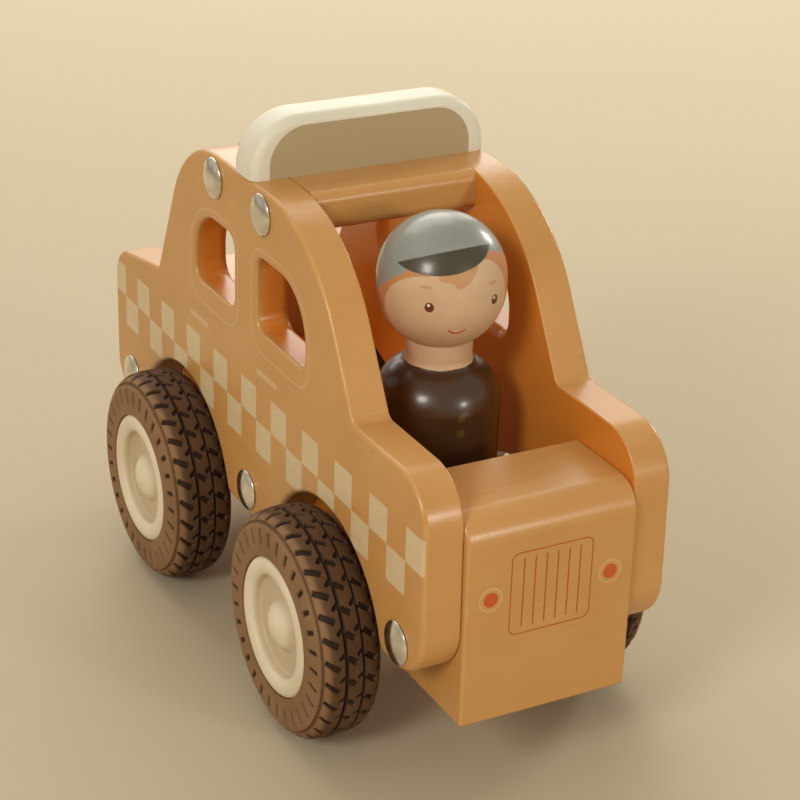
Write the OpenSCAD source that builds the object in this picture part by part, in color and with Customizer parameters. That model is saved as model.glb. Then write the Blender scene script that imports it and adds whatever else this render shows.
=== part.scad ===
// Wooden toy taxi with a peg driver
// +Z is up, the nose looks along -Y, the car's left is +X, and the origin is on the ground
// under the middle of the car.

/* [Body] */
// Overall length, from the nose face to the tail face
body_l = 169; // [160:1:185]
// Clear width between the two side panels
cab_w = 40; // [36:1:48]
// Thickness of a side panel
panel_t = 9; // [7:0.5:11]
// Height of the side panels' lower edge above the ground
panel_foot_h = 32; // [29:0.5:34]
// How far the panels' ends sit back from the nose and tail faces
panel_setback = 0.9; // [0.5:0.1:2]
// Height of the side panels along the hood
hood_h = 77.4; // [72:0.1:79]
// How far the hood's front corner leans back from the foot below it
front_lean = 1; // [0:0.5:4]
// Length of the hood edge, from the front corner to the foot of the windscreen pillar
hood_l = 31.9; // [24:0.1:34]
// Slope of the windscreen pillar from the level
windscreen_slope = 60; // [52:1:68]
// Radius that turns the windscreen pillar into the roof
windscreen_r = 38; // [20:1:42]
// Height of the roof
roof_h = 113.6; // [110:0.2:120]
// Radius that turns the roof into the rear pillar
rear_roof_r = 27; // [15:1:30]
// Slope of the rear pillar from the level
rear_slope = 66; // [60:1:74]
// Length of the trunk edge, from the rear pillar's foot to the tail
trunk_l = 29; // [24:0.5:32]
// Height of the side panels at the rear pillar's foot
trunk_h = 74; // [70:0.5:77]
// Height of the side panels at the tail corner
tail_h = 68.8; // [66:0.2:70]
// Radius of the corners at the nose, above and below
nose_corner_r = 11.5; // [4:0.5:12]
// Radius of the corners at the tail, above and below
tail_corner_r = 8; // [4:0.5:10]
// Radius of the inside corners at the feet of the pillars
pillar_foot_r = 2.5; // [2:0.5:8]

/* [Windows] */
// Height of the window sills
sill_h = 80; // [78:0.5:84]
// Height of a window
window_h = 17.6; // [12:0.2:19]
// Place of the pillar between the windows, along the car
mid_pillar_y = 2.9; // [0:0.1:6]
// Width of the pillar between the windows
mid_pillar_w = 11.9; // [9:0.1:16]
// Length of a front window
front_window_l = 24.9; // [16:0.1:26]
// Length of a rear window
rear_window_l = 22.6; // [16:0.1:24]
// Radius of a front window's upper front corner
front_window_r = 12.5; // [6:0.5:14]
// Radius of a rear window's upper rear corner
rear_window_r = 11.5; // [6:0.5:14]
// Radius of the other window corners
window_corner_r = 3.5; // [1:0.5:5]

/* [Blocks] */
// Height of the underside of the nose, floor and tail blocks
block_under_h = 21.4; // [18:0.2:22]
// Length of the nose block
nose_l = 23.8; // [21:0.2:25]
// Height of the nose block's top
nose_h = 69; // [60:0.5:73]
// Radius of the nose and tail blocks' outer top edges
nose_r = 6.5; // [2:0.5:9]
// Height of the floor block's top
floor_h = 46; // [44:0.5:50]
// Length of the tail block
tail_l = 23.8; // [21:0.2:25]
// Height of the tail block's top
tail_block_h = 64; // [58:0.5:66]
// Place of the middle of the roof board, along the car
roof_y = 6.8; // [5:0.1:9]
// Length of the roof board
roof_l = 40.4; // [36:0.2:44]
// Thickness of the roof board
roof_t = 9; // [8:0.5:11]
// Radius of the roof board's rounded long edges
roof_edge_r = 2.5; // [0.5:0.1:3]

/* [Roof sign] */
// Width of the sign, across the car
sign_w = 58; // [46:0.5:62]
// Thickness of the sign, along the car
sign_t = 10; // [9:0.5:14]
// Height of the sign
sign_h = 13.7; // [12:0.1:18]
// Radius of the sign's upper corners
sign_r = 12; // [4:0.5:12]
// Place of the middle of the sign, along the car
sign_y = 4; // [2:0.1:8]

/* [Wheels] */
// Diameter of a tyre
tyre_d = 51.5; // [48:0.5:54]
// Width of a tyre
tyre_w = 15; // [13:0.5:17]
// Radius of a tyre's crown, across the tread
crown_r = 17.4; // [14:0.2:30]
// Radius of a tyre's shoulders
shoulder_r = 4.5; // [3:0.1:5]
// Width of the grooves between the tread ribs
groove_w = 0.6; // [0.3:0.1:1]
// Depth of the grooves between the tread ribs
groove_d = 0.8; // [0.3:0.1:1.2]
// Angle round a shoulder from the tread to the shoulder's groove
shoulder_groove_a = 57; // [40:1:65]
// Width of the middle tread rib, between groove centres
rib_w = 4; // [3:0.1:5]
// Distance between the middles of the left and right tyres
track_w = 67; // [65:0.5:72]
// Distance between the axles
wheelbase = 78; // [76:0.5:82]
// Place of the front axle, along the car
front_axle_y = -38.5; // [-40:0.1:-36]
// Space between a tyre and its wheel arch
arch_gap = 1.6; // [1:0.1:3]
// Diameter of a hub's lip
hub_d = 31.7; // [29:0.1:34]
// Width of a hub's lip ring
lip_w = 4.3; // [3:0.1:5]
// Thickness of a hub's lip, where it laps over the tyre
lip_t = 1.5; // [1:0.1:2]
// How far a hub's lip stands out past the tyre
lip_proud = 0.3; // [0:0.1:1]
// How far the tyre's seat lies below the lip, all round
seat_step = 1.1; // [0.6:0.1:1.6]
// Depth of a hub's dish
dish_depth = 3; // [1.5:0.1:4]
// Diameter of the domed boss in the dish
boss_d = 11.8; // [9:0.1:14]
// Height of the dome on the boss
boss_dome = 2; // [1:0.1:2.4]
// Diameter of the boss behind a hub
back_boss_d = 12; // [9:0.5:14]
// Depth of the ring-shaped pocket behind a hub
pocket_depth = 6; // [2:0.5:8]
// Wall thickness round the pocket behind a hub
hub_wall = 2; // [1.2:0.1:3]
// Diameter of an axle
axle_d = 4; // [3:0.1:5]
// Running clearance all round an axle in the floor block
axle_run = 0.08; // [0.02:0.01:0.1]
// Clearance all round an axle in a hub, and a hub in a tyre
seat_fit = 0.02; // [0.01:0.01:0.05]
// Plastic left in front of an axle's end, inside a hub's boss
boss_cap = 2.5; // [1.5:0.1:4]
// Diameter of an axle washer
washer_d = 11; // [8:0.5:14]
// Thickness of an axle washer
washer_t = 0.8; // [0.5:0.1:1.2]
// End play beside each axle washer
end_play = 0.15; // [0.1:0.01:0.3]

/* [Fasteners] */
// Diameter of a rivet's cap
rivet_d = 9.6; // [7:0.1:10]
// Height of a rivet's cap
rivet_h = 1.7; // [1:0.1:2.5]
// Height of the straight rim under the dome of a rivet's cap
rivet_rim = 0.4; // [0.2:0.1:0.8]
// Diameter of a rivet's shank
shank_d = 3.4; // [2.4:0.1:4]
// Length of a rivet's shank
shank_l = 20; // [16:0.5:21]
// Clearance all round a shank or a dowel in its hole
pin_fit = 0.03; // [0.01:0.01:0.08]
// How far the nose and tail rivets sit in from the nose and tail faces
end_rivet_in = 11.5; // [10.5:0.1:13]
// Height of the lower rivets, where the wheel arches leave room for it
low_rivet_h = 38; // [37:0.2:40]
// Least space between a nose or tail rivet's cap and the wheel arch beside it
rivet_arch_gap = 3.4; // [1:0.1:3.4]
// Place of the middle lower rivet, along the car
mid_rivet_y = 1.4; // [-2:0.1:4]
// Distance between the two roof rivets
roof_rivet_pitch = 25.7; // [20:0.1:28]
// How far the roof rivets sit below the roof
roof_rivet_drop = 5.6; // [4.5:0.1:6]
// Diameter of a dowel between the blocks
dowel_d = 8; // [6:0.5:9]
// Length of a dowel between the blocks
dowel_l = 18; // [14:0.5:18]
// Distance between the two dowels of a joint
dowel_pitch = 16; // [14:0.5:18]
// Height of the dowels between the blocks
dowel_h = 36; // [35:0.5:38]
// Diameter of a sign dowel
sign_dowel_d = 6; // [4:0.5:6]
// Length of a sign dowel
sign_dowel_l = 14; // [10:0.5:15]
// Distance between the sign dowels
sign_dowel_pitch = 26; // [20:0.5:30]

/* [Driver] */
// How far the driver stands behind the middle of the space between the nose block and the roof board
driver_shift = 2.55; // [1:0.05:4]
// Diameter of the driver's body
driver_d = 27.6; // [22:0.2:28]
// Height of the driver's shoulders above the foot
shoulder_h = 40; // [34:0.5:42]
// Radius of the driver's round shoulders
driver_shoulder_r = 9; // [4:0.5:9]
// Diameter of the driver's neck
neck_d = 14.4; // [10:0.2:17]
// Height of the driver's neck, from the shoulders to the middle of the head
neck_l = 18; // [17:0.5:22]
// Width of the driver's head
head_d = 28; // [24:0.2:30]
// Height of the driver's head
head_h = 29.6; // [26:0.2:32]
// Depth of the driver's socket in the floor block
socket_depth = 5; // [3:0.5:6]
// Clearance all round the driver in the socket
socket_fit = 0.6; // [0.3:0.1:1]

/* [Hidden] */
$fn = 96;
arc_step = 6;
overcut = 1;

half_l = body_l / 2;
half_w = cab_w / 2;
panel_out = half_w + panel_t;
axle_h = tyre_d / 2;
rear_axle_y = front_axle_y + wheelbase;
axles_y = [front_axle_y, rear_axle_y];
arch_r = tyre_d / 2 + arch_gap;

panel_front = -half_l + panel_setback;
panel_rear = half_l - panel_setback;
hood_front = panel_front + front_lean;
windscreen_foot = hood_front + hood_l;
windscreen_top = windscreen_foot + (roof_h - hood_h) / tan(windscreen_slope);
rear_foot = panel_rear - trunk_l;
rear_top = rear_foot - (roof_h - trunk_h) / tan(rear_slope);

roof_under = roof_h - roof_t;
roof_front = roof_y - roof_l / 2;
roof_rivet_h = roof_h - roof_rivet_drop;
nose_rear = -half_l + nose_l;
tail_front = half_l - tail_l;
driver_y = (nose_rear + roof_front) / 2 + driver_shift;

// The roof's two round ends share its length where they would meet
roof_rounding = windscreen_r * tan(windscreen_slope / 2) + rear_roof_r * tan(rear_slope / 2);
roof_fit = min(1, (rear_top - windscreen_top) / roof_rounding);

// The nose and tail rivets sit higher where an arch would come too near
rivet_reach = arch_r + rivet_d / 2 + rivet_arch_gap;
function rivet_over_arch(run) = axle_h + sqrt(max(0, rivet_reach * rivet_reach - run * run));
nose_rivet_y = -half_l + end_rivet_in;
tail_rivet_y = half_l - end_rivet_in;
low_rivets = [
    [nose_rivet_y, max(low_rivet_h, rivet_over_arch(front_axle_y - nose_rivet_y))],
    [mid_rivet_y, low_rivet_h],
    [tail_rivet_y, max(low_rivet_h, rivet_over_arch(tail_rivet_y - rear_axle_y))]];
roof_rivets = [for (s = [-1, 1]) [roof_y + s * roof_rivet_pitch / 2, roof_rivet_h]];
rivets = concat(low_rivets, roof_rivets);

// Wheels: distances from the middle of the car, measured along an axle
tyre_in = (track_w - tyre_w) / 2;
tyre_out = (track_w + tyre_w) / 2;
hub_out = tyre_out + lip_proud;
lip_in = hub_out - lip_t;
dish_floor = hub_out - dish_depth;
back_boss_in = half_w + washer_t + 2 * end_play;
axle_end = hub_out - boss_cap;
seat_r = hub_d / 2 - seat_step;
dish_r = hub_d / 2 - lip_w;

socket_floor = floor_h - socket_depth;
driver_axis = [0, driver_y, socket_floor];

paint = "#d9a05b";
cream = "#efe6cf";
rubber = "#6b5240";
steel = "#c9ccd0";
beech = "#d8b98a";

// Points of an outline whose corners, given as [x, y, radius], are rounded
function unit(v) = v / norm(v);
function corner_arc(before, corner, after, r) =
    let (
        way_in = unit(corner - before),
        way_out = unit(after - corner),
        turn = atan2(cross(way_in, way_out), way_in * way_out),
        side = turn > 0 ? 1 : -1,
        start = corner - way_in * r * tan(abs(turn) / 2),
        centre = start + side * r * [-way_in[1], way_in[0]],
        spoke = start - centre,
        steps = max(1, ceil(abs(turn) / arc_step))
    )
    [for (i = [0:steps])
        let (a = turn * i / steps)
        centre + [spoke[0] * cos(a) - spoke[1] * sin(a), spoke[0] * sin(a) + spoke[1] * cos(a)]];
function flat_point(p) = [p[0], p[1]];
function rounded(corners) =
    let (n = len(corners))
    [for (i = [0:n - 1])
        let (
            before = flat_point(corners[(i + n - 1) % n]),
            corner = flat_point(corners[i]),
            after = flat_point(corners[(i + 1) % n]),
            r = corners[i][2]
        )
        each (r > 0 ? corner_arc(before, corner, after, r) : [corner])];

// A flat shape drawn along the car and upwards, made solid across the car from x = low to x = high
module across(low, high) {
    translate([low, 0, 0])
        rotate([90, 0, 90])
            linear_extrude(high - low)
                children();
}

// A turned shape whose axis runs across the car, on one side of it
module turned_side(side, y) {
    translate([0, y, axle_h])
        mirror([side < 0 ? 1 : 0, 0, 0])
            rotate([0, 90, 0])
                rotate_extrude()
                    children();
}

module panel_outline() {
    polygon(rounded([
        [panel_front, panel_foot_h, nose_corner_r],
        [hood_front, hood_h, nose_corner_r],
        [windscreen_foot, hood_h, pillar_foot_r],
        [windscreen_top, roof_h, windscreen_r * roof_fit],
        [rear_top, roof_h, rear_roof_r * roof_fit],
        [rear_foot, trunk_h, pillar_foot_r],
        [panel_rear, tail_h, tail_corner_r],
        [panel_rear, panel_foot_h, tail_corner_r]]));
}

module window_outlines() {
    front_edge = mid_pillar_y - mid_pillar_w / 2;
    rear_edge = mid_pillar_y + mid_pillar_w / 2;
    head_h = sill_h + window_h;
    polygon(rounded([
        [front_edge, sill_h, window_corner_r],
        [front_edge, head_h, window_corner_r],
        [front_edge - front_window_l, head_h, front_window_r],
        [front_edge - front_window_l, sill_h, window_corner_r]]));
    polygon(rounded([
        [rear_edge, sill_h, window_corner_r],
        [rear_edge + rear_window_l, sill_h, window_corner_r],
        [rear_edge + rear_window_l, head_h, rear_window_r],
        [rear_edge, head_h, window_corner_r]]));
}

module rivet_holes() {
    for (side = [-1, 1], place = rivets)
        translate([side * panel_out, place[0], place[1]])
            rotate([0, -side * 90, 0])
                translate([0, 0, -overcut])
                    cylinder(r = shank_d / 2 + pin_fit, h = shank_l + overcut);
}

module axle_holes() {
    for (y = axles_y)
        translate([0, y, axle_h])
            rotate([0, 90, 0])
                cylinder(r = axle_d / 2 + axle_run, h = cab_w + 2 * overcut, center = true);
}

module side_panel(side) {
    color(paint)
        difference() {
            across(side > 0 ? half_w : -panel_out, side > 0 ? panel_out : -half_w)
                difference() {
                    panel_outline();
                    window_outlines();
                    for (y = axles_y)
                        translate([y, axle_h])
                            circle(r = arch_r);
                }
            rivet_holes();
        }
}

// Two dowels across the joint between two blocks, grown by a clearance
module joint_dowels(joint_y, fit) {
    for (side = [-1, 1])
        translate([side * dowel_pitch / 2, joint_y, dowel_h])
            rotate([90, 0, 0])
                cylinder(d = dowel_d + 2 * fit, h = dowel_l + 2 * fit, center = true);
}

module nose_block() {
    color(paint)
        difference() {
            across(-half_w, half_w)
                polygon(rounded([
                    [-half_l, block_under_h, 0],
                    [-half_l, nose_h, nose_r],
                    [nose_rear, nose_h, 0],
                    [nose_rear, block_under_h, 0]]));
            rivet_holes();
            axle_holes();
            joint_dowels(nose_rear, pin_fit);
        }
}

module tail_block() {
    color(paint)
        difference() {
            across(-half_w, half_w)
                polygon(rounded([
                    [tail_front, block_under_h, 0],
                    [tail_front, tail_block_h, 0],
                    [half_l, tail_block_h, nose_r],
                    [half_l, block_under_h, 0]]));
            rivet_holes();
            axle_holes();
            joint_dowels(tail_front, pin_fit);
        }
}

module floor_block() {
    color(paint)
        difference() {
            translate([-half_w, nose_rear, block_under_h])
                cube([cab_w, tail_front - nose_rear, floor_h - block_under_h]);
            rivet_holes();
            joint_dowels(nose_rear, pin_fit);
            joint_dowels(tail_front, pin_fit);
            axle_holes();
            translate(driver_axis)
                cylinder(r = driver_d / 2 + socket_fit, h = socket_depth + overcut);
        }
}

module sign_pins(fit) {
    for (side = [-1, 1])
        translate([side * sign_dowel_pitch / 2, sign_y, roof_h])
            cylinder(d = sign_dowel_d + 2 * fit, h = sign_dowel_l + 2 * fit, center = true);
}

module roof_board() {
    color(paint)
        difference() {
            across(-half_w, half_w)
                polygon(rounded([
                    [roof_front, roof_under, roof_edge_r],
                    [roof_front, roof_h, roof_edge_r],
                    [roof_front + roof_l, roof_h, roof_edge_r],
                    [roof_front + roof_l, roof_under, roof_edge_r]]));
            rivet_holes();
            sign_pins(pin_fit);
        }
}

module roof_sign() {
    color(cream)
        difference() {
            translate([0, sign_y + sign_t / 2, roof_h])
                rotate([90, 0, 0])
                    linear_extrude(sign_t)
                        polygon(rounded([
                            [-sign_w / 2, 0, 0],
                            [-sign_w / 2, sign_h, sign_r],
                            [sign_w / 2, sign_h, sign_r],
                            [sign_w / 2, 0, 0]]));
            sign_pins(pin_fit);
        }
}

module sign_dowels() {
    color(beech)
        sign_pins(0);
}

module nose_dowels() {
    color(beech)
        joint_dowels(nose_rear, 0);
}

module tail_dowels() {
    color(beech)
        joint_dowels(tail_front, 0);
}

// A domed cap with a straight rim, on a plain shank; the cap's flat side is at z = 0
module rivet() {
    dome_h = rivet_h - rivet_rim;
    dome_r = (rivet_d * rivet_d / 4 + dome_h * dome_h) / (2 * dome_h);
    rotate_extrude()
        intersection() {
            square([rivet_d / 2, rivet_h]);
            translate([0, rivet_h - dome_r])
                circle(r = dome_r);
        }
    translate([0, 0, -shank_l])
        cylinder(d = shank_d, h = shank_l + rivet_rim);
}

module side_rivets(side) {
    color(steel)
        for (place = rivets)
            translate([side * panel_out, place[0], place[1]])
                rotate([0, side * 90, 0])
                    rivet();
}

module axle(y) {
    color(steel)
        translate([0, y, axle_h])
            rotate([0, 90, 0])
                cylinder(d = axle_d, h = 2 * axle_end, center = true);
}

module washers(y) {
    color(steel)
        for (side = [-1, 1])
            turned_side(side, y)
                translate([axle_d / 2 + axle_run, half_w + end_play])
                    square([washer_d / 2 - axle_d / 2 - axle_run, washer_t]);
}

module hub(side, y) {
    boss_r = boss_d / 2;
    dome_r = (boss_r * boss_r + boss_dome * boss_dome) / (2 * boss_dome);
    lip_edge_r = lip_t / 2;
    color(cream)
        turned_side(side, y)
            difference() {
                union() {
                    difference() {
                        translate([0, tyre_in])
                            square([seat_r, hub_out - tyre_in]);
                        translate([0, dish_floor])
                            square([dish_r, dish_depth + overcut]);
                    }
                    translate([dish_r, lip_in])
                        square([lip_w - lip_edge_r, lip_t]);
                    translate([hub_d / 2 - lip_edge_r, lip_in + lip_edge_r])
                        circle(r = lip_edge_r);
                    translate([0, dish_floor - overcut])
                        square([boss_r, dish_depth - boss_dome + overcut]);
                    intersection() {
                        translate([0, hub_out - dome_r])
                            circle(r = dome_r);
                        translate([0, dish_floor])
                            square([boss_r, dish_depth]);
                    }
                    translate([0, back_boss_in])
                        square([back_boss_d / 2, tyre_in - back_boss_in + overcut]);
                }
                translate([back_boss_d / 2, tyre_in - overcut])
                    square([seat_r - hub_wall - back_boss_d / 2, pocket_depth + overcut]);
                translate([0, back_boss_in - overcut])
                    square([axle_d / 2 + seat_fit, axle_end - back_boss_in + overcut]);
            }
}

module tyre_section() {
    middle = track_w / 2;
    tyre_r = tyre_d / 2;
    shoulder_x = tyre_w / 2 - shoulder_r;
    shoulder_h = tyre_r - crown_r + sqrt(crown_r * crown_r - shoulder_x * shoulder_x) - shoulder_r;
    groove_up = shoulder_r * cos(shoulder_groove_a);
    groove_out = shoulder_r * sin(shoulder_groove_a);
    difference() {
        intersection() {
            translate([seat_r + seat_fit, tyre_in])
                square([tyre_r, tyre_w]);
            translate([tyre_r - crown_r, middle])
                circle(r = crown_r);
            union() {
                translate([0, tyre_in])
                    square([shoulder_h, tyre_w]);
                translate([0, middle - shoulder_x])
                    square([tyre_r, 2 * shoulder_x]);
                for (s = [-1, 1])
                    translate([shoulder_h, middle + s * shoulder_x])
                        circle(r = shoulder_r);
            }
        }
        translate([0, lip_in - seat_fit])
            square([hub_d / 2 + seat_fit, lip_t]);
        for (s = [-1, 1]) {
            translate([tyre_r - groove_d, middle + s * rib_w / 2 - groove_w / 2])
                square([groove_d + overcut, groove_w]);
            translate([shoulder_h + groove_up, middle + s * (shoulder_x + groove_out)])
                circle(d = groove_w);
        }
    }
}

module tyre(side, y) {
    color(rubber)
        turned_side(side, y)
            tyre_section();
}

module driver() {
    body_r = driver_d / 2;
    head_r = head_d / 2;
    head_mid = shoulder_h + neck_l;
    half_stretch = (head_h - head_d) / 2;
    color("#5b4030")
        translate(driver_axis)
            rotate_extrude()
                intersection() {
                    square([body_r + head_r, head_mid + head_h]);
                    union() {
                        polygon(rounded([
                            [0, 0, 0],
                            [body_r, 0, 0],
                            [body_r, shoulder_h, driver_shoulder_r],
                            [0, shoulder_h, 0]]));
                        square([neck_d / 2, head_mid]);
                        for (s = [-1, 1])
                            translate([0, head_mid + s * half_stretch])
                                circle(r = head_r);
                        translate([0, head_mid - half_stretch])
                            square([head_r, 2 * half_stretch]);
                    }
                }
}

side_panel(1);  // left_side_panel
side_panel(-1);  // right_side_panel
nose_block();
floor_block();
tail_block();
roof_board();
roof_sign();
sign_dowels();
nose_dowels();
tail_dowels();
side_rivets(1);  // left_rivets
side_rivets(-1);  // right_rivets
axle(front_axle_y);  // front_axle
axle(rear_axle_y);  // rear_axle
washers(front_axle_y);  // front_axle_washers
washers(rear_axle_y);  // rear_axle_washers
hub(1, front_axle_y);  // front_left_hub
hub(-1, front_axle_y);  // front_right_hub
hub(1, rear_axle_y);  // rear_left_hub
hub(-1, rear_axle_y);  // rear_right_hub
tyre(1, front_axle_y);  // front_left_tyre
tyre(-1, front_axle_y);  // front_right_tyre
tyre(1, rear_axle_y);  // rear_left_tyre
tyre(-1, rear_axle_y);  // rear_right_tyre
driver();
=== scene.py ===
import bmesh
import bpy
from math import asin, atan2, cos, degrees, hypot, pi, radians, sin, sqrt
from mathutils import Matrix, Vector


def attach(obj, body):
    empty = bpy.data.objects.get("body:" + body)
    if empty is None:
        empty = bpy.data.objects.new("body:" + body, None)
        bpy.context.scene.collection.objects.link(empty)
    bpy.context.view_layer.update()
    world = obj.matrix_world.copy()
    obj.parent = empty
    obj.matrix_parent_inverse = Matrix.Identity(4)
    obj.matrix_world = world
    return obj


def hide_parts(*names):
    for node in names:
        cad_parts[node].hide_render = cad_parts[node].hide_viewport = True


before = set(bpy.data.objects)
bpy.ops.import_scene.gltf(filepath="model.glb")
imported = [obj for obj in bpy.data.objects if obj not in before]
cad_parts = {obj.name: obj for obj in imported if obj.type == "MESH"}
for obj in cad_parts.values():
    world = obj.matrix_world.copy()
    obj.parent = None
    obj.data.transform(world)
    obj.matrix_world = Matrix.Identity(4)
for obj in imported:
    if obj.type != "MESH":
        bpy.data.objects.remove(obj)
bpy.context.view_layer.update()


# Floor block: a sawn length of hardwood between the side panels, painted ochre.
# It carries both axles in plain bores and has a turned socket for the driver's foot.
mm = 0.001


def screen(red, green, blue):
    """A colour given as 0 to 255 screen values, in linear light."""
    return (*[((value / 255 + 0.055) / 1.055) ** 2.4 for value in (red, green, blue)], 1.0)


class Wire:
    """A shader socket that takes part in Python arithmetic."""

    def __init__(self, tree, socket=None):
        self.tree = tree
        self.socket = socket

    def add(self, kind, settings=None, sockets=None, out=0):
        """A new node of any kind: its settings first, then the values or links of its sockets."""
        node = self.tree.nodes.new(kind)
        for name, value in (settings or {}).items():
            setattr(node, name, value)
        for name, value in (sockets or {}).items():
            if isinstance(value, Wire):
                self.tree.links.new(value.socket, node.inputs[name])
            else:
                node.inputs[name].default_value = value
        return Wire(self.tree, node.outputs[out])

    def maths(self, operation, *others):
        return self.add("ShaderNodeMath", {"operation": operation}, dict(enumerate((self, *others))))

    def __add__(self, other):
        return self.maths("ADD", other)

    def __sub__(self, other):
        return self.maths("SUBTRACT", other)

    def __rsub__(self, other):
        return self.add("ShaderNodeMath", {"operation": "SUBTRACT"}, {0: other, 1: self})

    def __mul__(self, other):
        return self.maths("MULTIPLY", other)

    def __truediv__(self, other):
        return self.maths("DIVIDE", other)

    def __pow__(self, other):
        return self.maths("POWER", other)

    def __abs__(self):
        return self.maths("ABSOLUTE")

    __radd__ = __add__
    __rmul__ = __mul__

    def low(self, other):
        return self.maths("MINIMUM", other)

    def high(self, other):
        return self.maths("MAXIMUM", other)

    def over(self, edge):
        return self.maths("GREATER_THAN", edge)

    def rise(self, start, end):
        """0 up to start, 1 from end, smooth between."""
        return self.add("ShaderNodeMapRange", {"interpolation_type": "SMOOTHSTEP"},
                        {"Value": self, "From Min": start, "From Max": end})

    def blend(self, first, second):
        """A mix of two colours, with this value as the second one's share."""
        return self.add("ShaderNodeMix", {"data_type": "RGBA"}, {0: self, 6: first, 7: second}, 2)

    def times(self, scale):
        """A vector scaled by one number, or by one for each axis."""
        each = scale if isinstance(scale, tuple) else (scale, scale, scale)
        return self.add("ShaderNodeVectorMath", {"operation": "MULTIPLY"}, {0: self, 1: each})

    def split(self):
        first = self.add("ShaderNodeSeparateXYZ", None, {0: self})
        return [Wire(self.tree, socket) for socket in first.socket.node.outputs]

    def noise(self, scale, detail=2.0):
        return self.add("ShaderNodeTexNoise", None,
                        {"Vector": self.times(scale), "Scale": 1.0, "Detail": detail})

    def bump(self, strength, depth):
        return self.add("ShaderNodeBump", None, {"Strength": strength, "Distance": depth, "Height": self})

    def feed(self, shader, socket):
        self.tree.links.new(self.socket, shader.inputs[socket])


def new_finish(name, **fixed):
    """A material with the sockets that are the same all over set directly, and its own coordinates."""
    finish = bpy.data.materials.new(name)
    finish.use_nodes = True
    shader = finish.node_tree.nodes["Principled BSDF"]
    for socket, value in fixed.items():
        shader.inputs[socket.replace("_", " ")].default_value = value
    return finish, shader, Wire(finish.node_tree).add("ShaderNodeTexCoord", out="Object")


ochre_pale, ochre_deep = screen(202, 150, 87), screen(196, 143, 80)
fibre_pale, fibre_dark = screen(214, 168, 108), screen(172, 116, 58)
rubbed_pale, speck_pale = screen(220, 178, 122), screen(230, 194, 146)


def ochre_paint(name, fibre, mark=None, pale=ochre_pale, deep=ochre_deep):
    """Thin satin paint on wood: fibres show faintly, rounded edges are rubbed paler."""
    finish, shader, place = new_finish(name)
    facing = place.add("ShaderNodeTexCoord", out="Normal").split()
    cloud = place.noise(38)
    fibres = place.noise(fibre, 3.0)
    peel = place.noise(1500, 1.0)
    specks = place.noise(520, 1.0)
    colour = cloud.rise(0.3, 0.72).blend(pale, deep)
    colour = (fibres.rise(0.5, 0.78) * 0.16).blend(colour, fibre_pale)
    colour = ((1 - fibres.rise(0.2, 0.44)) * 0.12).blend(colour, fibre_dark)
    turn = abs(facing[0])
    edge = turn.rise(0.12, 0.45) * (1 - turn.rise(0.72, 0.96))
    rubbed = edge * place.noise(160, 3.0).rise(0.34, 0.66)
    colour = (rubbed * 0.25).blend(colour, rubbed_pale)
    if mark:
        colour = mark(place.times(1 / mm), colour, cloud)
    colour = (specks.rise(0.72, 0.8) * 0.1).blend(colour, speck_pale)
    colour.feed(shader, "Base Color")
    (0.2 + 0.08 * cloud + 0.1 * fibres).feed(shader, "Roughness")
    (peel * 0.6 + fibres * 0.8 + specks * 0.3).bump(0.34, 0.09 * mm).feed(shader, "Normal")
    return finish


weld = 0.001 * mm
flat_turn, sharp_turn, crease_turn = radians(0.4), radians(32), radians(34)


def sawn_copy(node):
    """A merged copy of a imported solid, with its flat faces whole."""
    shape = bmesh.new()
    shape.from_mesh(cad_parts[node].data)
    bmesh.ops.remove_doubles(shape, verts=shape.verts, dist=weld)
    bmesh.ops.dissolve_limit(shape, angle_limit=flat_turn, verts=shape.verts, edges=shape.edges)
    return shape


def round_edges(shape, radius, chosen, segments):
    """Round those sharp edges that are chosen."""
    edges = [edge for edge in shape.edges
             if len(edge.link_faces) == 2 and edge.calc_face_angle() > sharp_turn and chosen(edge)]
    bmesh.ops.bevel(shape, geom=edges, offset=radius, offset_type="OFFSET", affect="EDGES",
                    segments=segments, profile=0.5, material=-1, clamp_overlap=False)


def sanded(node, radius=0, chosen=None):
    """A sawn solid with chosen edges rounded as sanding leaves them."""
    shape = sawn_copy(node)
    if chosen:
        round_edges(shape, radius, chosen, 4)
    return as_piece(shape, node + "_sanded")


def as_piece(shape, name):
    """An object at the origin made from a finished bmesh, smooth except at real corners."""
    mesh = bpy.data.meshes.new(name)
    shape.to_mesh(mesh)
    shape.free()
    mesh.shade_smooth()
    mesh.set_sharp_from_angle(angle=crease_turn)
    piece = bpy.data.objects.new(name, mesh)
    bpy.context.scene.collection.objects.link(piece)
    normals = piece.modifiers.new("even_shading", "WEIGHTED_NORMAL")
    normals.keep_sharp = True
    return piece


def fit(piece, finish, body, slot, *nodes):
    """Finish a piece and fix it where its solids are."""
    piece.data.materials.append(finish)
    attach(piece, body)
    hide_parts(*nodes)


def long_edge(edge):
    """Whether an edge runs along a block, and not round a bore."""
    return edge.calc_length() > 20 * mm


along_car = (90, 45, 820)
floor_block = sanded("floor_block", 0.5 * mm, long_edge)
# painted shade: a deeper, more saturated ochre that stands for the shade inside the car, used on the whole
# floor block and on the panels' inner faces and window reveals
inner_shade_pale, inner_shade_deep = screen(220, 136, 40), screen(218, 126, 28)
fit(floor_block, ochre_paint("ochre_floor", along_car, pale=inner_shade_pale, deep=inner_shade_deep), "car_body",
    "painted_wood", "floor_block")


# Dowels: turned bare beech pins, glued half in one piece and half in the next.
# Two join each end block to the floor block, and two hold the sign on the roof board.
bare_beech, beech_shader, place = new_finish("bare_beech", Roughness=0.62)
flecks = place.noise((900, 260, 900), 3.0)
flecks.rise(0.4, 0.7).blend(screen(216, 180, 132), screen(192, 150, 100)).feed(beech_shader, "Base Color")
flecks.bump(0.3, 0.1 * mm).feed(beech_shader, "Normal")


def finish_solids(finish, *nodes):
    """Finish solids that are shown as they were imported."""
    for node in nodes:
        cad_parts[node].data.materials.clear()
        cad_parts[node].data.materials.append(finish)


finish_solids(bare_beech, "nose_dowels", "tail_dowels", "sign_dowels")


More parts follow.
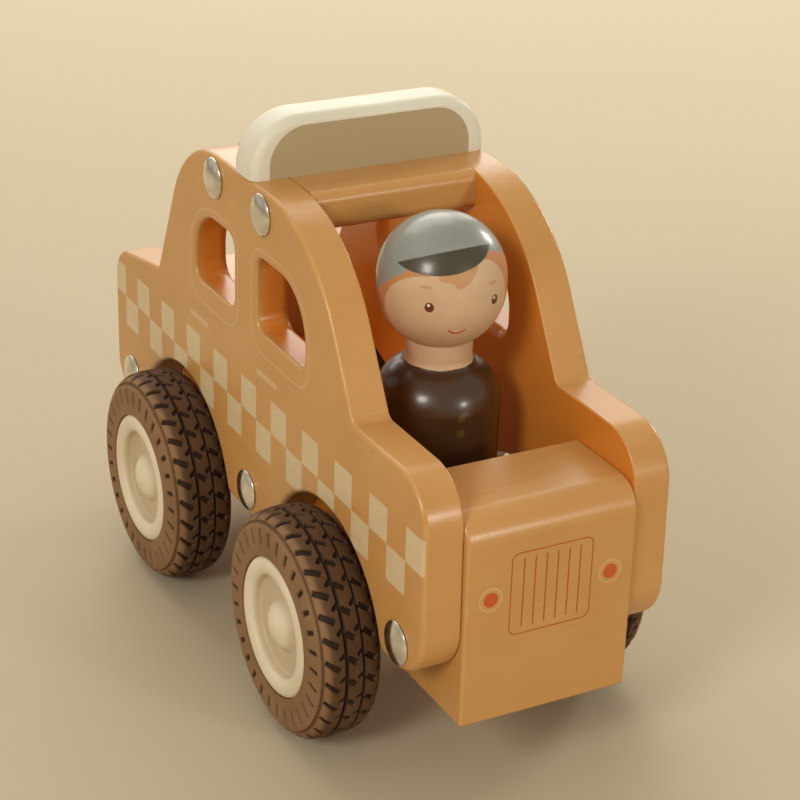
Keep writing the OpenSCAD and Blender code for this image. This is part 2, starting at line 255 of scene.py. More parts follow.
# Nose block: a painted block with a rounded top front edge, doweled to the floor block
# and riveted between the panels. The grille and lamps are printed on its front.
across_car = (45, 620, 760)
# print sizes, here and below, are in millimetres
nose_face = -84.5
grille_w, grille_low, grille_top, grille_r, grille_line = 19.08, 40.86, 59.67, 1.7, 0.3
slat_pitch, slat_low, slat_top, slat_line = 2.66, 42.4, 58.3, 0.36
slats_half = 3 * slat_pitch
lamp_x, lamp_z, lamp_r, ring_r, ring_line = 14.18, 50.38, 1.66, 2.55, 0.26
rust = screen(172, 74, 24)
lamp_orange = screen(196, 86, 28)
lamp_ring = screen(224, 190, 138)


def box_edge(across, up, half_w, half_h, corner):
    """Distance to the outline of a round-cornered box, below 0 inside it."""
    past = abs(across) - half_w + corner
    above = abs(up) - half_h + corner
    outside = (past.high(0) ** 2 + above.high(0) ** 2) ** 0.5
    return outside + past.high(above).low(0) - corner


def line(distance, width):
    """A printed line, soft by a twentieth of a millimetre at its edges."""
    return 1 - abs(distance).rise(width / 2 - 0.05, width / 2 + 0.05)


def nose_print(place, colour, cloud):
    """A grille of six slats in a round-cornered frame, between two ringed lamps."""
    x, y, z = place.split()
    front = y.rise(nose_face + 0.6, nose_face + 0.2)
    grille_z, grille_half = (grille_low + grille_top) / 2, (grille_top - grille_low) / 2
    surround = line(box_edge(x, z - grille_z, grille_w / 2, grille_half, grille_r), grille_line)
    to_slat = x.maths("FLOORED_MODULO", slat_pitch) - slat_pitch / 2
    slats = line(to_slat, slat_line) * abs(x).rise(slats_half, slats_half - 0.1)
    slats = slats * line(z - (slat_low + slat_top) / 2, slat_top - slat_low)
    to_lamp = ((abs(x) - lamp_x) ** 2 + (z - lamp_z) ** 2) ** 0.5
    inked = front * (1 - 0.2 * cloud)
    colour = (surround.high(slats) * inked).blend(colour, rust)
    colour = (to_lamp.rise(lamp_r + 0.06, lamp_r - 0.06) * front).blend(colour, lamp_orange)
    return (line(to_lamp - ring_r, ring_line) * inked * 0.7).blend(colour, lamp_ring)


def crossing(edge):
    """Whether an edge lies between a sawn face, square to x, and the outline."""
    turns = sorted(abs(face.normal.x) for face in edge.link_faces)
    return turns[0] < 0.5 and turns[1] > 0.5


def block_edge(edge):
    """Whether an edge of an end block is sanded: the long ones and those round its sawn ends."""
    return long_edge(edge) or crossing(edge)


nose_block = sanded("nose_block", 0.8 * mm, block_edge)
fit(nose_block, ochre_paint("ochre_nose", across_car, nose_print), "car_body", "painted_wood", "nose_block")


# Tail block: a painted block that closes the back below the open rear of the cab, doweled to
# the floor block and riveted between the panels as the nose block is.
tail_block = sanded("tail_block", 0.8 * mm, block_edge)
fit(tail_block, ochre_paint("ochre_tail", across_car), "car_body", "painted_wood", "tail_block")


# Roof board: a painted board with rounded long edges, let in between the panels under the sign
# and held by two rivets on each side.
roof_board = sanded("roof_board")
fit(roof_board, ochre_paint("ochre_roof", across_car), "car_body", "painted_wood", "roof_board")


# Side panels: two thick boards sawn to the car's outline, edges rounded by sanding, painted ochre.
# A cream two-row checker band, window outlines and handles are printed on the outer faces.
panel_in, panel_out = 20, 29
check, check_top, check_front = 7.99, 66.1, -83.27
# a window's middle and length along the car, its head, its big corner, and the way that corner points
windows = ((-15.5, 24.9, 97.6, 12.5, -1), (20.15, 22.6, 97.6, 11.5, 1))
window_r = 3.5
outline_gap, outline_low, outline_line = 2.3, 75.3, 0.42
reveal_past, reveal_z, reveal_half = 3.2, 88.8, 12.0
handles = ((-9.15, 70.4), (29.0, 70.3))
handle_l, handle_t = 11.0, 1.5
print_cream = screen(214, 192, 154)


def flank_print(place, colour, cloud):
    """The checker band, window outlines and handles, and painted shade in a deeper ochre on the inner faces
    and window reveals.
    """
    x, y, z = place.split()
    outer = abs(x).rise(panel_out - 0.7, panel_out - 0.2)
    depth = abs(x).rise(panel_out - 1.1, panel_out - 2.5)
    fray = place.noise(1.4) * 0.3 - 0.15
    column = (y + fray - check_front) / check
    row = (check_top - z + fray) / check
    odd = (column.maths("FLOOR") + row.maths("FLOOR")).maths("FLOORED_MODULO", 2)
    band = row.over(0) * (1 - row.over(2))
    thin = place.noise((0.5, 0.35, 0.5), 3.0).rise(0.28, 0.6)
    marks = (1 - odd) * band * (0.76 + 0.2 * thin)
    for middle, length, head, corner, front in windows:
        across = y - middle
        half_w = length / 2 + outline_gap
        half_h = (head + outline_gap - outline_low) / 2
        up = z - outline_low - half_h
        outline = box_edge(across, up, half_w, half_h, window_r + outline_gap)
        big_r = corner + outline_gap
        past = (across * front - half_w + big_r).high(0)
        above = (up - half_h + big_r).high(0)
        outline = outline.high((past ** 2 + above ** 2) ** 0.5 - big_r)
        marks = marks.high(line(outline, outline_line) * 0.42)
        # painted shade: the window reveals, inside the board's thickness, take the deeper ochre
        reveal = box_edge(across, z - reveal_z, length / 2 + reveal_past, reveal_half, window_r)
        colour = (reveal.rise(0.2, -0.2) * depth * 0.75).blend(colour, inner_shade_deep)
    for middle, height in handles:
        dash = box_edge(y - middle, z - height, handle_l / 2, handle_t / 2, handle_t / 2)
        marks = marks.high(dash.rise(0.05, -0.1) * 0.5)
    # painted shade: the inner faces take the deeper ochre
    colour = (abs(x).rise(panel_in + 0.2, panel_in + 0.05) * 0.75).blend(colour, inner_shade_deep)
    return (marks * outer).blend(colour, print_cream)


foot_top, foot_r = 34 * mm, 2.4 * mm


def at_foot(edge):
    """Whether an edge is a point of the panel's foot, where a wheel arch cuts it."""
    ends = [vert.co for vert in edge.verts]
    return not crossing(edge) and abs(ends[0].x - ends[1].x) > 5 * mm and ends[0].z < foot_top


def contours(shape, level):
    """Outline and holes of the flat face at one x, as (y, z) points with the wood on their left."""
    flat = [face for face in shape.faces
            if abs(face.normal.x) > 0.99 and abs(face.calc_center_median().x - level) < 0.01 * mm]
    inside = set(flat)
    onward = {loop.vert: loop.link_loop_next.vert for face in flat for loop in face.loops
              if loop.link_loop_radial_next.face not in inside}
    while onward:
        spots = [next(iter(onward))]
        while spots[-1] in onward:
            spots.append(onward.pop(spots[-1]))
        points = [(spot.co.y, spot.co.z) for spot in spots[1:]]
        yield points if level > 0 else points[::-1]


def inset(points, depth):
    """The same contour, moved into the wood by a depth."""
    moved = []
    for before, here, after in zip(points[-1:] + points[:-1], points, points[1:] + points[:1]):
        first = (Vector(here) - Vector(before)).normalized().orthogonal()
        second = (Vector(after) - Vector(here)).normalized().orthogonal()
        moved.append(Vector(here) + (first + second) * (depth / (1 + first.dot(second))))
    return moved


# inner and outer edge rounds of the outline, the windows and the rivet holes, by the width each is over
board_rounds = ((100 * mm, 0.5 * mm, 1.2 * mm), (12 * mm, 2.8 * mm, 1.0 * mm), (0, 0, 0))


def rounded_board(node, sign):
    """A panel with its edges sanded round, ring by ring, as bevel folds the narrow wood round the holes."""
    sawn = sawn_copy(node)
    round_edges(sawn, foot_r, at_foot, 6)
    board = bmesh.new()
    rims = ([], [])
    turns = [radians(15 * step) for step in range(7)]
    for points in contours(sawn, sign * panel_out * mm):
        width = max(y for y, z in points) - min(y for y, z in points)
        inner_r, outer_r = next(rounds for least, *rounds in board_rounds if width > least)
        levels = [(panel_in * mm + inner_r * (1 - sin(turn)), inner_r * (1 - cos(turn)))
                  for turn in reversed(turns)]
        levels += [(panel_out * mm - outer_r * (1 - sin(turn)), outer_r * (1 - cos(turn))) for turn in turns]
        rings = [[board.verts.new((sign * x, *spot)) for spot in inset(points, depth)] for x, depth in levels]
        for low, high in zip(rings, rings[1:]):
            for corner in range(len(low)):
                board.faces.new((low[corner - 1], low[corner], high[corner], high[corner - 1]))
        for rim, ring in zip(rims, (rings[0], rings[-1])):
            rim += [board.edges.get((ring[corner - 1], ring[corner])) for corner in range(len(ring))]
    for rim in rims:
        bmesh.ops.triangle_fill(board, use_beauty=True, use_dissolve=False, edges=rim, normal=(1, 0, 0))
    bmesh.ops.remove_doubles(board, verts=board.verts, dist=weld)
    bmesh.ops.recalc_face_normals(board, faces=board.faces)
    sawn.free()
    return as_piece(board, node + "_sanded")


for side, sign in (("left", 1), ("right", -1)):
    panel = rounded_board(side + "_side_panel", sign)
    fit(panel, ochre_paint("ochre_panel_" + side, along_car, flank_print), "car_body", "painted_wood",
        side + "_side_panel")


# Rivets: bright plated steel caps with a rolled rim, on shanks driven through the panels
# into the blocks and the roof board.
rivet_spots = ((-73.0, 38.0), (1.4, 38.0), (73.0, 38.0), (-6.05, 108.0), (19.65, 108.0))
cap_r, cap_h, cap_rim, rim_r = 4.8 * mm, 1.7 * mm, 0.5 * mm, 0.25 * mm
shank_r, shank_l = 1.7 * mm, 20 * mm

plated_steel, plated_shader, place = new_finish("plated_steel", Metallic=1.0)
haze = place.noise(380, 3.0)
haze.rise(0.35, 0.7).blend(screen(236, 232, 222), screen(210, 205, 194)).feed(plated_shader, "Base Color")
(0.1 + 0.16 * haze).feed(plated_shader, "Roughness")
place.noise(900).bump(0.12, 0.03 * mm).feed(plated_shader, "Normal")


def arc(centre_a, centre_b, radius, start_angle, end_angle, steps):
    """Points of a round stretch of an outline; angles are in degrees from the first direction."""
    turns = [radians(start_angle + (end_angle - start_angle) * step / steps) for step in range(steps + 1)]
    return [(centre_a + radius * cos(turn), centre_b + radius * sin(turn)) for turn in turns]


def turned(shape, outline, seat, axis, steps, closed=False):
    """Spin an outline of (out along the axis, radius) points round an axis through seat."""
    spoke = Vector((0, 0, 1)) if abs(axis.z) < 0.5 else Vector((1, 0, 0))
    spots = [shape.verts.new(seat + axis * out + spoke * radius) for out, radius in outline]
    pairs = list(zip(spots, spots[1:])) + ([(spots[-1], spots[0])] if closed else [])
    edges = [shape.edges.new(pair) for pair in pairs]
    bmesh.ops.spin(shape, geom=spots + edges, cent=seat, axis=axis, dvec=(0, 0, 0), angle=2 * pi, steps=steps,
                   use_merge=True, use_duplicate=False)
    bmesh.ops.remove_doubles(shape, verts=shape.verts, dist=weld)
    bmesh.ops.recalc_face_normals(shape, faces=shape.faces)


dome_h = cap_h - cap_rim
dome_r = (cap_r ** 2 + dome_h ** 2) / (2 * dome_h)
dome_turn = degrees(asin((cap_r - rim_r) / dome_r))
cap_outline = ([(-shank_l, 0), (-shank_l, shank_r), (0, shank_r), (0, cap_r - 0.3 * mm)]
               + arc(rim_r, cap_r - rim_r, rim_r, 110, 20, 4)
               + arc(cap_h - dome_r, 0, dome_r, dome_turn, 0, 14))
for side, sign in (("left", 1), ("right", -1)):
    shape = bmesh.new()
    for y, z in rivet_spots:
        turned(shape, cap_outline, Vector((sign * panel_out, y, z)) * mm, Vector((sign, 0, 0)), 64)
    fit(as_piece(shape, side + "_rivet_caps"), plated_steel, "car_body", "rivet_steel", side + "_rivets")


# Roof sign: a cream painted block with large round upper corners, pinned across the roof board.
# A darker panel is painted on its front and back, with a margin round it.
sign_y, sign_half = 4.0, 5.0
field_w, field_top, field_half, field_r = 49.4, 125.1, 20, 9.0
field_brown = screen(176, 158, 122)

cream_paint, cream_shader, place = new_finish("cream_sign_paint")
cloud = place.noise(60)
fibres = place.noise((40, 700, 700), 3.0)
colour = cloud.rise(0.3, 0.7).blend(screen(228, 224, 206), screen(222, 216, 196))
colour = (fibres.rise(0.55, 0.8) * 0.2).blend(colour, screen(212, 200, 172))
x, y, z = place.times(1 / mm).split()
field = box_edge(x, z - (field_top - field_half), field_w / 2, field_half, field_r).rise(0.1, -0.1)
face = abs(y - sign_y).rise(sign_half - 1.1, sign_half - 0.5)
(field * face).blend(colour, field_brown).feed(cream_shader, "Base Color")
(0.4 + 0.14 * cloud).feed(cream_shader, "Roughness")
(place.noise(1500, 1.0) * 0.6 + fibres * 0.5).bump(0.3, 0.08 * mm).feed(cream_shader, "Normal")


def sign_rim(edge):
    """Whether an edge lies round the sign's front or back, except along its foot."""
    turns = sorted(abs(face.normal.y) for face in edge.link_faces)
    heights = sorted(vert.co.z for vert in edge.verts)
    above_foot = heights[0] > 114 * mm or heights[1] - heights[0] > 1 * mm
    return turns[0] < 0.5 and turns[1] > 0.5 and above_foot


roof_sign = sanded("roof_sign", 2.2 * mm, sign_rim)
fit(roof_sign, cream_paint, "car_body", "cream_wood", "roof_sign")


# Axles and washers: drawn steel rods that turn in the floor block, with a plain washer
# between the block and each hub.
drawn_steel, drawn_shader, place = new_finish("drawn_steel", Metallic=1.0)
streaks = place.noise((60, 1800, 1800), 2.0)
streaks.rise(0.3, 0.7).blend(screen(176, 174, 168), screen(204, 202, 196)).feed(drawn_shader, "Base Color")
(0.28 + 0.2 * streaks).feed(drawn_shader, "Roughness")
finish_solids(drawn_steel, "front_axle", "rear_axle", "front_axle_washers", "rear_axle_washers")


# Hubs: moulded cream plastic wheels with a round lip over the tyre, a dish and a domed boss,
# pressed on the axle's ends.
axle_z = 25.75 * mm
axles_y = {"front": -38.5 * mm, "rear": 39.5 * mm}
hub_out, dish_floor, dish_r, dish_round = 41.3, 38.3, 10.7, 0.9
lip_mid, lip_half, lip_h = 13.7, 2.15, 1.35
boss_r, boss_dome, boss_fillet = 5.9, 2.7, 0.5
seat_r, tyre_in, lip_in, back_in = 14.75, 26.0, 39.8, 21.1
drum_r, web_in, stub_r, bore_r, bore_end = 12.75, 32.0, 6.0, 2.02, 38.8

hub_plastic, hub_shader, place = new_finish("hub_plastic")
swirl = place.noise(70, 2.0)
dust = place.noise(420, 3.0)
colour = swirl.rise(0.3, 0.7).blend(screen(230, 218, 191), screen(222, 208, 179))
colour = (dust.rise(0.6, 0.78) * 0.25).blend(colour, screen(190, 166, 124))
# painted shade: the dish inside the lip is darkened, standing for the shade in the recess
dish_shade = abs(place.split()[0]).rise(40.2 * mm, 38.5 * mm)
(dish_shade * 0.5).blend(colour, screen(172, 142, 102)).feed(hub_shader, "Base Color")
(0.36 + 0.18 * dust).feed(hub_shader, "Roughness")
place.noise(1300, 1.0).bump(0.22, 0.06 * mm).feed(hub_shader, "Normal")

boss_round = (boss_r ** 2 + boss_dome ** 2) / (2 * boss_dome)
boss_turn = degrees(asin(boss_r / boss_round)) - 2
hub_outline = arc(hub_out - boss_round, 0, boss_round, 0, boss_turn, 10)
hub_outline += arc(dish_floor + boss_fillet, boss_r + 0.55, boss_fillet, 225, 180, 3)
hub_outline += arc(dish_floor + dish_round, dish_r, dish_round, 180, 100, 4)
hub_outline += [(hub_out - lip_h + lip_h * sin(turn), lip_mid - lip_half * cos(turn))
                for turn in (pi * step / 16 for step in range(17))]
hub_outline += [(lip_in, lip_mid + lip_half), (lip_in, seat_r), (tyre_in, seat_r), (tyre_in, drum_r),
                (web_in, drum_r), (web_in, stub_r), (back_in, stub_r), (back_in, bore_r),
                (bore_end, bore_r), (bore_end, 0)]
hub_outline = [(out * mm, radius * mm) for out, radius in hub_outline]
for end, y in axles_y.items():
    for side, sign in (("left", 1), ("right", -1)):
        shape = bmesh.new()
        turned(shape, hub_outline, Vector((0, y, axle_z)), Vector((sign, 0, 0)), 128)
        fit(as_piece(shape, end + "_" + side + "_moulded_hub"), hub_plastic, end + "_wheels", "hub_plastic",
            end + "_" + side + "_hub")


# Tyres: brown moulded rubber, all from one mould, stretched over the hubs. Three ribs with
# slanted slots and hooks make the tread, and short radial slots ring the outer wall.
pitches = 30
tyre_r, tyre_half, tyre_mid = 25.75, 7.5, 33.5
crown_r, shoulder_r = 17.4, 4.5
bead_r, lip_seat_r, lip_seat_in = 14.77, 15.87, 6.28
shoulder_at = tyre_half - shoulder_r
shoulder_z = tyre_r - crown_r + sqrt(crown_r ** 2 - shoulder_at ** 2) - shoulder_r
groove_turn = radians(57)
groove_s = shoulder_at + shoulder_r * groove_turn
pitch = 2 * pi * tyre_r / pitches
slot_depth, groove_depth, wall_slot_depth = 0.75, 0.8, 0.7
groove_at, groove_half, edge_groove_half = 2, 0.3, 0.35
wall_low, wall_slot_r, wall_slot_reach, wall_slot_half = 18, 20.2, 1.7, 0.5
# a slot's middle across and round the tread, its length and width, its tilt and its corners' radius
slots = (
    ((5.2, 2.75), (3.9, 1.25), 32, 0.1),
    ((2.75, -0.5), (1.9, 0.85), -43, 0.35),
    ((0.65, -1.7), (2.4, 1.15), 35, 0.1),
    ((-1.25, -0.2), (1.7, 0.85), -43, 0.35),
    ((-3.85, -1.8), (3.0, 1.2), 34, 0.1),
    ((-6.3, 0.3), (1.9, 0.85), -43, 0.35),
)


def pressed_in(gap, soft=0.2):
    """Depth share at a distance from a slot's edge, which slopes over a soft width."""
    return min(1, max(0, 0.5 - gap / soft))


def slot_at(across, around, middle, size, tilt, corner):
    """Depth share of one slot at a spot on the tread, with the tread's pitch repeated."""
    da = across - middle[0]
    dr = (around - middle[1] + pitch / 2) % pitch - pitch / 2
    along = abs(da * cos(tilt) + dr * sin(tilt)) - size[0] / 2 + corner
    aside = abs(dr * cos(tilt) - da * sin(tilt)) - size[1] / 2 + corner
    gap = hypot(max(along, 0), max(aside, 0)) + min(max(along, aside), 0) - corner
    return pressed_in(gap)


def tread_depth(s, turn, radius):
    """How deep the mould presses the rubber at a spot: s runs across the tread, turn round it."""
    depth = groove_depth * max(pressed_in(abs(abs(s) - groove_at) - groove_half),
                               0.5 * pressed_in(abs(abs(s) - groove_s) - edge_groove_half))
    if s < groove_s:
        around = turn * tyre_r
        depth = max([depth] + [slot_depth * slot_at(s, around, middle, size, radians(tilt), corner)
                               for middle, size, tilt, corner in slots])
    elif radius > wall_low:
        step = 2 * pi * radius / pitches
        aside = abs((turn * radius + step / 2) % step - step / 2) - wall_slot_half
        gap = max(aside, abs(radius - wall_slot_r) - wall_slot_reach)
        depth = max(depth, wall_slot_depth * pressed_in(gap, 0.25))
    return depth


# the outline runs up the outer wall, over the crown and down the inner wall to the bore
wall_top = shoulder_at + shoulder_r * pi / 2
tyre_outline = [(tyre_half, lip_seat_r), (tyre_half, 16.9)]
wall_start = wall_low + 0.1
tyre_outline += [(tyre_half, wall_start + (shoulder_z - wall_start) * step / 12) for step in range(12)]
tyre_outline += [(shoulder_at + b, shoulder_z + a) for a, b in arc(0, 0, shoulder_r, 90, 0, 30)]
crown_turn = degrees(asin(shoulder_at / crown_r))
tyre_outline += [(b, tyre_r - crown_r + a) for a, b in arc(0, 0, crown_r, crown_turn, -crown_turn, 24)][1:-1]
tyre_outline += [(-shoulder_at + b, shoulder_z + a) for a, b in arc(0, 0, shoulder_r, 0, -90, 28)]
tyre_outline += [(-tyre_half, 17.5), (-tyre_half, bead_r), (lip_seat_in, bead_r), (lip_seat_in, lip_seat_r)]

tyre_rubber, tyre_shader, place = new_finish("tyre_rubber", Specular_IOR_Level=0.3)
bloom = place.noise(90, 3.0)
grit = place.noise(1100, 2.0)
groove_shade = place.add("ShaderNodeAttribute", {"attribute_name": "groove_shade"}, out="Fac")
worn = bloom.rise(0.3, 0.7)
# painted light: the outer wall is given a paler brown than the tread, standing for the light that falls on
# that side
wall = abs(place.split()[0]).rise((tyre_mid + 4.6) * mm, (tyre_mid + 6.0) * mm)
tread_brown = worn.blend(screen(94, 65, 41), screen(82, 55, 33))
colour = wall.blend(tread_brown, worn.blend(screen(144, 109, 75), screen(132, 98, 66)))
colour = (grit.rise(0.55, 0.8) * 0.2).blend(colour, screen(142, 110, 80))
# painted shade: slot and groove floors darken towards near black by how deep the mould presses them
(groove_shade.rise(0.1, 0.9) * 0.9).blend(colour, screen(34, 19, 10)).feed(tyre_shader, "Base Color")
(0.58 + 0.2 * grit).feed(tyre_shader, "Roughness")
grit.bump(0.3, 0.1 * mm).feed(tyre_shader, "Normal")

mould = bmesh.new()
steps_per_pitch = 24
turned(mould, [(out * mm, radius * mm) for out, radius in tyre_outline], Vector((0, 0, 0)), Vector((1, 0, 0)),
       pitches * steps_per_pitch, closed=True)
# each spot keeps its pressed depth, which drives the painted shade in the grooves
pressed = mould.verts.layers.float.new("groove_shade")
for vert in mould.verts:
    out, radius = vert.co.x / mm, hypot(vert.co.y, vert.co.z) / mm
    if radius < wall_low + 0.05 or (out < -shoulder_at and radius < shoulder_z):
        continue
    if abs(out) > shoulder_at:
        lean = min(pi / 2, atan2(abs(out) - shoulder_at, max(radius - shoulder_z, 0)))
        s = shoulder_at + shoulder_r * lean
        if radius < shoulder_z:
            s = wall_top + shoulder_z - radius
        if out < 0:
            s = -s
    else:
        lean, s = asin(abs(out) / crown_r), out
    depth = tread_depth(s, atan2(vert.co.z, vert.co.y), radius)
    outward = Vector((sin(lean) * (1 if out > 0 else -1), vert.co.y / mm / radius * cos(lean),
                      vert.co.z / mm / radius * cos(lean)))
    vert.co -= outward * depth * mm
    vert[pressed] = depth / slot_depth
for number, (end, y) in enumerate(axles_y.items()):
    for side, sign in (("left", 1), ("right", -1)):
        shape = mould.copy()
        roll = Matrix.Rotation(radians(37 * number + 11 * sign), 4, "X")
        half_turn = Matrix.Rotation(0 if sign > 0 else pi, 4, "Z")
        seat = Matrix.Translation((sign * tyre_mid * mm, y, axle_z))
        bmesh.ops.transform(shape, matrix=seat @ half_turn @ roll, verts=shape.verts)
        fit(as_piece(shape, end + "_" + side + "_moulded_tyre"), tyre_rubber, end + "_wheels", "tyre_rubber",
            end + "_" + side + "_tyre")
mould.free()


# Driver: one turned wooden peg with a round head, dipped and painted by hand with gloss paint.
# It stands loose in the floor block's socket and lifts out.
peg = Vector((0, -34.5 * mm, 41 * mm))
peg_r, peg_shoulder_r, peg_neck_r, peg_head_r = 13.8, 9.0, 7.2, 14.0
shoulder_top, head_low, head_high, neck_fillet = 40.0, 57.2, 58.8, 2.2
head_z, coat_z = 99.0, 81.0
skin, skin_deep = screen(209, 176, 140), screen(203, 168, 131)
hair, hair_tuft = screen(192, 132, 82), screen(194, 146, 98)
cap_grey, cap_deep = screen(146, 150, 142), screen(136, 140, 132)
coat_brown, coat_deep = screen(72, 46, 24), screen(64, 40, 20)
visor_olive, button_olive = screen(66, 60, 40), screen(98, 84, 30)
eye_brown, eye_glint, brow_tan = screen(100, 42, 16), screen(238, 226, 200), screen(178, 132, 72)
lip_red = screen(186, 52, 30)
eyes = ((-8.8, -10.8, -1.0), (5.6, -12.8, -0.8))
brows = ((-9.3, -10.0, 3.3), (4.9, -12.8, 3.1))
smile_x, smile_z, smile_r = -2.84, -5.1, 2.2
buttons = ((-1.5, 72.5), (-1.6, 68.8))

gloss_paint, gloss_shader, place = new_finish("driver_gloss_paint", Coat_Roughness=0.16)
# millimetres from the head's middle, and the bearing round it in degrees from straight ahead
x, y, z = place.times(1 / mm).split()
y = y - peg.y / mm
z = z - head_z
bearing = x.maths("ARCTAN2", y * -1.0) * (180 / pi)
brush = place.noise((260, 260, 900), 3.0)
tone = place.noise(120)
mottle = tone.rise(0.3, 0.7)
colour = mottle.blend(skin, skin_deep)
# the bare face is two ovals, joined below a brow line
right_oval = ((bearing + 42) / 47) ** 2 + ((z + 5) / 10.4) ** 2
left_oval = ((bearing - 16) / 28) ** 2 + ((z + 3) / 11) ** 2
brow_height = (bearing + 42).high(0).low(58) * 0.045 + 5.5
face = right_oval.rise(1.02, 0.98).high(left_oval.rise(1.02, 0.98))
between = bearing.rise(-42.2, -41.8) * bearing.rise(16.2, 15.8) * (brow_height - z).rise(-0.05, 0.05)
face = face.high(between)
# hair fills the rest of the head, with a tuft that comes down over the brow
lock_low = 4.79 - (bearing + 31.2) * 0.05
tip_low = ((bearing + 14.9) ** 2) * 0.008 + 3.17
tuft_low = lock_low + bearing.rise(-18.5, -15.5) * (tip_low - lock_low)
tuft = bearing.rise(-32.2, -31.6) * bearing.rise(8, 7) * (z - tuft_low).rise(-0.06, 0.06)
hairline = (z.rise(-4.9, -4.6) * (1 - face)).high(tuft)
colour = hairline.blend(colour, tuft.blend(hair, hair_tuft))
# the cap is a dipped slant across the head, with a visor painted at its front
cap = (z + y * 0.78).rise(1.1, 1.25)
colour = cap.blend(colour, mottle.blend(cap_grey, cap_deep))
ahead = y.rise(0.5, -0.5)
visor_top = 5.69 - y * 0.4855 + x * 0.0244
visor_low = ((bearing + 40) ** 2) * 0.00075 + 5.7
visor = (visor_top - z).rise(-0.06, 0.06) * (z - visor_low).rise(-0.06, 0.06) * ahead
colour = visor.blend(colour, visor_olive)
for eye in eyes:
    to_eye = ((x - eye[0]) ** 2 + (y - eye[1]) ** 2 + ((z - eye[2]) * 0.92) ** 2) ** 0.5
    colour = to_eye.rise(1.06, 0.94).blend(colour, eye_brown)
    glint = ((x - eye[0] + 0.2) ** 2 + (y - eye[1]) ** 2 + (z - eye[2] - 0.45) ** 2) ** 0.5
    colour = glint.rise(0.38, 0.26).blend(colour, eye_glint)
for brow in brows:
    to_brow = ((x - brow[0]) ** 2 + (y - brow[1]) ** 2 + ((z - brow[2]) * 3.2) ** 2) ** 0.5
    colour = (to_brow.rise(1.7, 1.0) * 0.5).blend(colour, brow_tan)
to_smile = ((x - smile_x) ** 2 + (z - smile_z) ** 2) ** 0.5 - smile_r
smile = line(to_smile, 0.36) * z.rise(-6.3, -6.5) * ahead
colour = smile.blend(colour, lip_red)
# the coat is dipped up to the neck and has two buttons
wave = place.noise(300) * 0.5 - 0.25
coat = (z + wave).rise(coat_z + 0.1 - head_z, coat_z - 0.1 - head_z)
colour = coat.blend(colour, mottle.blend(coat_brown, coat_deep))
for button_x, button_z in buttons:
    to_button = ((x - button_x) ** 2 + (z - button_z + head_z) ** 2) ** 0.5
    colour = (to_button.rise(0.95, 0.75) * ahead * 0.6).blend(colour, button_olive)
colour.feed(gloss_shader, "Base Color")
painted = coat.high(cap).high(visor)
(0.44 - 0.16 * painted + 0.12 * brush).feed(gloss_shader, "Roughness")
(painted * 0.4).feed(gloss_shader, "Coat Weight")
(brush * 0.7 + place.noise(1700, 1.0) * 0.5).bump(0.35, 0.09 * mm).feed(gloss_shader, "Normal")

foot_round = 0.7
peg_outline = [(0, 0), (0, peg_r - foot_round)] + arc(foot_round, peg_r - foot_round, foot_round, 180, 90, 4)
shoulder_mid, shoulder_axis = shoulder_top - peg_shoulder_r, peg_r - peg_shoulder_r
fillet_out = peg_neck_r + neck_fillet - shoulder_axis
fillet_up = sqrt((peg_shoulder_r + neck_fillet) ** 2 - fillet_out ** 2)
meet = degrees(atan2(fillet_out, fillet_up))
peg_outline += arc(shoulder_mid, shoulder_axis, peg_shoulder_r, 90, meet, 14)
peg_outline += arc(shoulder_mid + fillet_up, peg_neck_r + neck_fillet, neck_fillet, 180 + meet, 270, 8)[1:]
neck_turn = degrees(asin(peg_neck_r / peg_head_r))
peg_outline += arc(head_low, 0, peg_head_r, 180 - neck_turn - 1, 90, 18)
peg_outline += arc(head_high, 0, peg_head_r, 90, 0, 24)
shape = bmesh.new()
turned(shape, [(out * mm, radius * mm) for out, radius in peg_outline], peg, Vector((0, 0, 1)), 128)
fit(as_piece(shape, "painted_driver"), gloss_paint, "driver", "driver_paint", "driver")


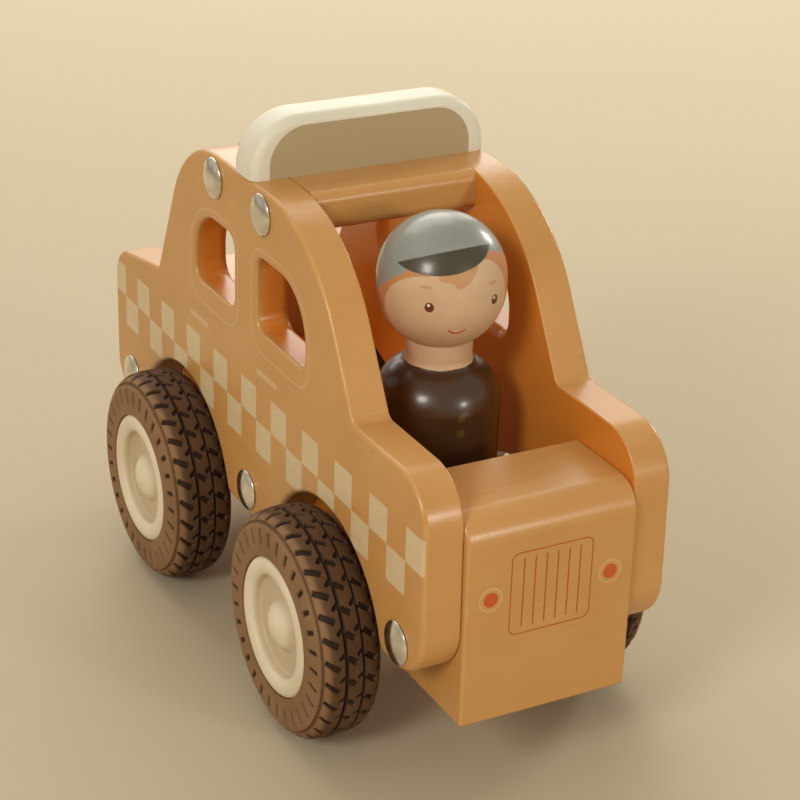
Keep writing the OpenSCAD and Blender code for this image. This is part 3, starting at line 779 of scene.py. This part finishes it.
# Studio: a plain pale floor that stays out of the part, soft lights on all sides,
# and a camera at the photo's angle.
floor_paint = new_finish("pale_floor", Base_Color=screen(192, 179, 152), Roughness=0.85)[0]
shape = bmesh.new()
bmesh.ops.create_grid(shape, x_segments=1, y_segments=1, size=6.0)
studio_floor = as_piece(shape, "studio_floor")
studio_floor.data.materials.append(floor_paint)

scene = bpy.context.scene
scene.view_settings.view_transform = "Standard"
scene.world = bpy.data.worlds.new("studio_air")
scene.world.use_nodes = True
air = scene.world.node_tree.nodes["Background"]
air.inputs["Color"].default_value = screen(250, 240, 222)
air.inputs["Strength"].default_value = 0.53

warm = (1.0, 0.955, 0.88)
car_middle = Vector((0, 0, 0.05))


def soft_light(name, spot, size, power):
    """A square area light that looks at the car: its place and size in metres, its power in watts."""
    lamp = bpy.data.lights.new(name, "AREA")
    lamp.size = size
    lamp.energy = power
    lamp.color = warm
    holder = bpy.data.objects.new(name, lamp)
    holder.location = spot
    holder.rotation_euler = (car_middle - Vector(spot)).to_track_quat("-Z", "Y").to_euler()
    scene.collection.objects.link(holder)


soft_light("left_softbox", (-0.69, -0.45, 0.56), 0.24, 3.2)
soft_light("front_softbox", (0.33, -0.89, 0.31), 0.14, 1.6)
soft_light("back_softbox", (0.13, 0.83, 0.72), 0.9, 5.3)
soft_light("sheen_softbox", (0.47, 0.88, 0.46), 0.7, 2.5)
soft_light("right_softbox", (0.78, 0.25, 0.37), 0.16, 1.5)

lens_spot = (-0.21157, -0.40589, 0.27017)
lens_azimuth, lens_height, lens_roll = radians(-28.598), radians(25.063), radians(1.84)
back = Vector((sin(lens_azimuth) * cos(lens_height), -cos(lens_azimuth) * cos(lens_height), sin(lens_height)))
level = Vector((0, 0, 1)).cross(back).normalized()
upright = back.cross(level)
right = level * cos(lens_roll) + upright * sin(lens_roll)
up = upright * cos(lens_roll) - level * sin(lens_roll)
lens = bpy.data.cameras.new("photo_lens")
lens.lens = 97.54
lens.sensor_width = 36
lens.clip_start = 0.01
camera = bpy.data.objects.new("photo_camera", lens)
camera.matrix_world = Matrix.Translation(lens_spot) @ Matrix((right, up, back)).transposed().to_4x4()
scene.collection.objects.link(camera)
scene.camera = camera
